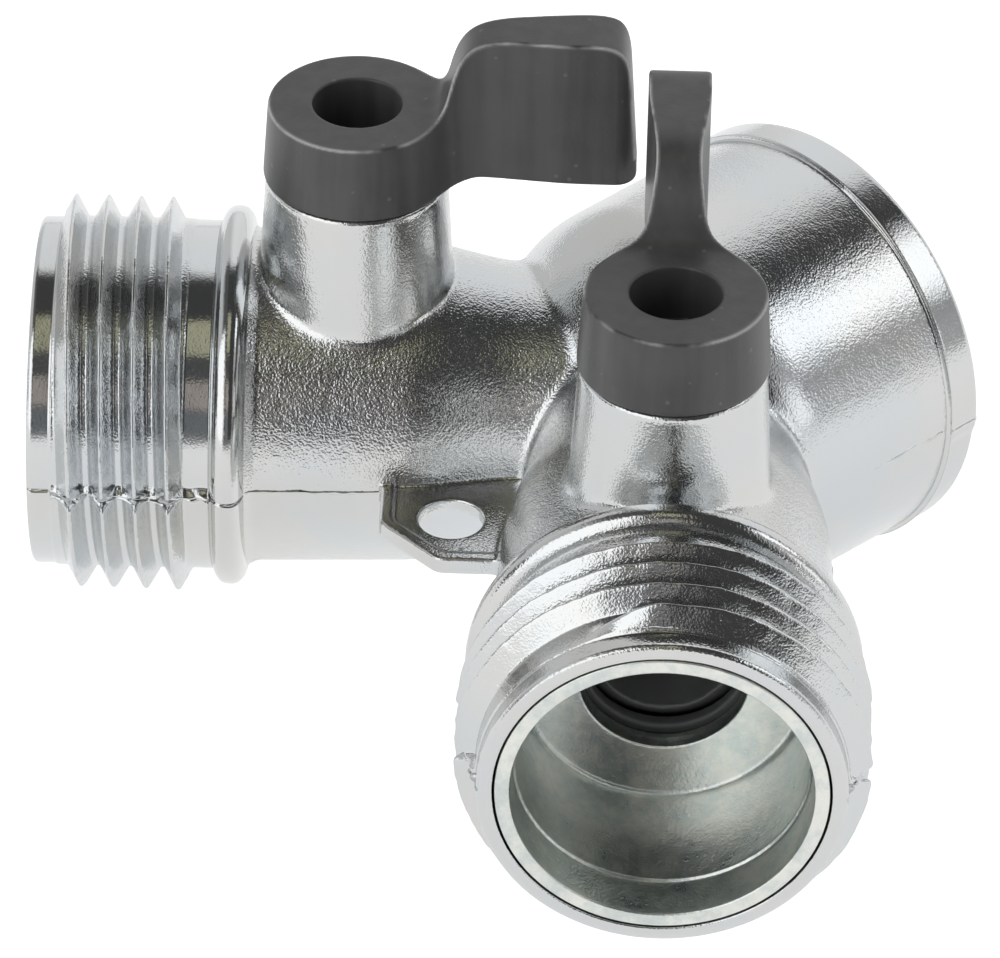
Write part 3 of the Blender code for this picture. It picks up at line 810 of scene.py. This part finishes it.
def dull_zinc():
    """Turned and plated metal gone dull: smears of tint and roughness in soft clouds and blotches, over a
    fine grain.
    """
    made, wire, shader = principled("dull_sleeve", Metallic=1.0)
    place = wire.node("ShaderNodeTexCoord", output="Object")
    cloud = wire.node("ShaderNodeTexNoise", {"Vector": place, "Scale": 330.0, "Detail": 4.0})
    blotch = wire.node("ShaderNodeTexNoise",
                       {"Vector": place, "Scale": 1100.0, "Detail": 4.0, "Roughness": 0.7})
    fine = wire.node("ShaderNodeTexNoise", {"Vector": place, "Scale": 5000.0, "Detail": 2.0})
    wear = cloud * 0.5 + blotch * 0.5
    tint = wear.step(0.5, 0.25).blend((0.61, 0.66, 0.65, 1), (0.82, 0.825, 0.775, 1))
    relief = fine * 0.8 + cloud + blotch * 0.8
    bump = wire.node("ShaderNodeBump", {"Height": relief, "Strength": 1.0, "Distance": 0.03 * MM})
    feed(shader, Base_Color=tint, Roughness=wear * 0.3 + 0.16, Normal=bump)
    return made


sleeve_metal = dull_zinc()
along, radius = sleeve_profile()
angles = np.arange(240) * 2 * math.pi / 240
for side, arm in ARMS.items():
    points = turned(along, radius, arm, angles)
    piece(f"{side}_sleeve", points, grid_quads(len(angles), len(along)), "splitter_body",
          sleeve_metal, [f"{side}_outlet_sleeve"])


# ---------------------------------------------------------------- balls, seats, stems and seals
# In each pipe a ball between two plastic seats is turned by a brass stem with two rubber seals,
# and a screw holds the lever on the stem. A rubber washer lies at the bottom of the inlet's socket.
SEAL_HEIGHTS = (12.3, 15.0)
FINE_ANGLES = np.arange(160) * 2 * math.pi / 160


def plain(name, colour, roughness, metallic=0.0):
    """A material whose colour is up to a fifth darker in soft clouds."""
    made, wire, shader = principled(name, Metallic=metallic)
    place = wire.node("ShaderNodeTexCoord", output="Object")
    cloud = wire.node("ShaderNodeTexNoise", {"Vector": place, "Scale": 500.0, "Detail": 3.0})
    darker = tuple(0.8 * level for level in colour)
    feed(shader, Base_Color=cloud.blend((*darker, 1), (*colour, 1)), Roughness=cloud * 0.1 + roughness)
    return made


def rounded(corners, size):
    """A closed section from its corners, each rounded by a curve that starts that far from it."""
    corners = np.asarray(corners, float)
    share = np.linspace(0, 1, 5)[:, None, None]
    before = np.roll(corners, 1, axis=0) - corners
    after = np.roll(corners, -1, axis=0) - corners
    start = corners + before / np.linalg.norm(before, axis=1, keepdims=True) * size
    end = corners + after / np.linalg.norm(after, axis=1, keepdims=True) * size
    curve = (1 - share) ** 2 * start + 2 * share * (1 - share) * corners + share**2 * end
    return np.swapaxes(curve, 0, 1).reshape(-1, 2).T


def ball_distance(q):
    """Distance to a ball with its water way along the arm and a slot on top for the stem's tang."""
    out, across, up = q.T
    ball = carve(np.linalg.norm(q, axis=1) - 8.0, 4.4 - np.hypot(across, up), 0.4)
    return np.maximum(ball, -np.maximum(np.maximum(np.abs(out) - 3.5, np.abs(across) - 1.2), 5.8 - up))


def stem_distance(q):
    """Distance to a stem: tang, flange, shank with a groove for each seal, square and screw hole."""
    out, across, up = q.T
    radius = np.hypot(out, across)
    groove = np.minimum(*(np.abs(up - height) for height in SEAL_HEIGHTS)) - 0.8
    shank = np.maximum(radius - 3.3, -np.maximum(groove, 2.0 - radius))
    stem = carve(shank, np.maximum(up - 16.3, 9.2 - up), 0.2)
    stem = np.minimum(stem, carve(radius - 4.2, np.abs(up - 9.675) - 0.725, 0.2))
    square = carve(np.maximum(np.abs(out), np.abs(across)) - 1.7, np.maximum(up - 18.7, 15.9 - up), 0.2)
    tang = carve(np.maximum(np.abs(out) - 3.1, np.abs(across) - 0.9), np.maximum(up - 9.1, 6.1 - up), 0.2)
    return np.maximum(np.minimum(np.minimum(stem, square), tang), -np.maximum(radius - 1.2, 14.2 - up))


def screw_distance(q):
    """Distance to a lever's screw: a pan head with a cross recess, and a threaded shank."""
    out, across, up = q.T
    radius = np.hypot(out, across)
    turns = up / 0.8 - np.arctan2(across, out) / (2 * math.pi)
    ridge = np.abs(turns - np.round(turns))
    shank = np.maximum(radius - 0.78 - 0.22 * ridge, np.maximum(14.6 - up, up - 20.5))
    head = carve(radius - 1.7, np.maximum(20.3 - up, up - 20.95 + 0.06 * radius**2), 0.4)
    slot = np.maximum(np.minimum(np.abs(out), np.abs(across)) - 0.25, np.maximum(radius - 1.05, 20.6 - up))
    return np.maximum(np.minimum(shank, head), -slot)


# The ball and the seats are black plastic. Their colours are painted lighter grey to stand in for the light
# that reaches them in the port.
ball_plastic = plain("ball_plastic", (0.17, 0.18, 0.175), 0.35)
seat_plastic = plain("seat_plastic", (0.13, 0.138, 0.135), 0.45)
brass = plain("stem_brass", (0.62, 0.48, 0.25), 0.25, 1.0)
rubber = plain("seal_rubber", (0.04, 0.04, 0.04), 0.55)
black_steel = plain("black_steel", (0.06, 0.06, 0.06), 0.4)
ball_skin = skin(ball_distance, (-8.6, -8.6, -8.6), (8.6, 8.6, 8.6), 0.27)
stem_skin = skin(stem_distance, (-4.6, -4.6, 5.8), (4.6, 4.6, 19.0), 0.14)
screw_skin = skin(screw_distance, (-2.0, -2.0, 14.3), (2.0, 2.0, 21.3), 0.08)
seal_turn = np.arange(24) * 2 * math.pi / 24
for side, arm in ARMS.items():
    axes = np.stack([-arm, np.cross(UP, -arm), UP])
    place = arm * VALVE_DISTANCE
    valve = f"{side}_valve"
    inside_parts = (("ball", ball_skin, "ball_plastic", ball_plastic, ball_distance),
                    ("stem", stem_skin, "stem_brass", brass, stem_distance),
                    ("handle_screw", screw_skin, "black_steel", black_steel, screw_distance))
    for name, (points, quads), slot, material, distance in inside_parts:
        piece(f"{side}_{name}_fine", points @ axes + place, quads, valve, material, [f"{side}_{name}"],
              slope_of(distance, points) @ axes)
    for name, facing in (("inner", -1), ("outer", 1)):
        corners = [(7.5, 5.2), (7.5, 8.7), (4.4, 8.7), (4.4, 7.0), (6.6, 5.2)]
        along, radius = rounded(corners, 0.25)
        points = turned(VALVE_DISTANCE + facing * along, radius, arm, FINE_ANGLES)
        piece(f"{side}_seat_{name}_fine", points, grid_quads(len(FINE_ANGLES), len(along)), "splitter_body",
              seat_plastic, [f"{side}_seat_{name}"])
    for name, height in zip(("lower", "upper"), SEAL_HEIGHTS):
        ring = np.stack([np.cos(FINE_ANGLES), np.sin(FINE_ANGLES), 0 * FINE_ANGLES], 1)
        radius = 2.8 + 0.5 * np.cos(seal_turn)
        points = radius[None, :, None] * ring[:, None] + (height + 0.5 * np.sin(seal_turn))[:, None] * UP
        piece(f"{side}_stem_oring_{name}_fine", points.reshape(-1, 3) + place,
              grid_quads(len(FINE_ANGLES), len(seal_turn)), valve, rubber,
              [f"{side}_stem_oring_{name}"])
along, radius = rounded([(1.3, 8.0), (1.3, 12.6), (4.3, 12.6), (4.3, 8.0)], 0.5)
points = turned(along, radius, INLET_AXIS, FINE_ANGLES)
piece("inlet_washer_fine", points, grid_quads(len(FINE_ANGLES), len(along)), "splitter_body",
      rubber, ["inlet_washer"])
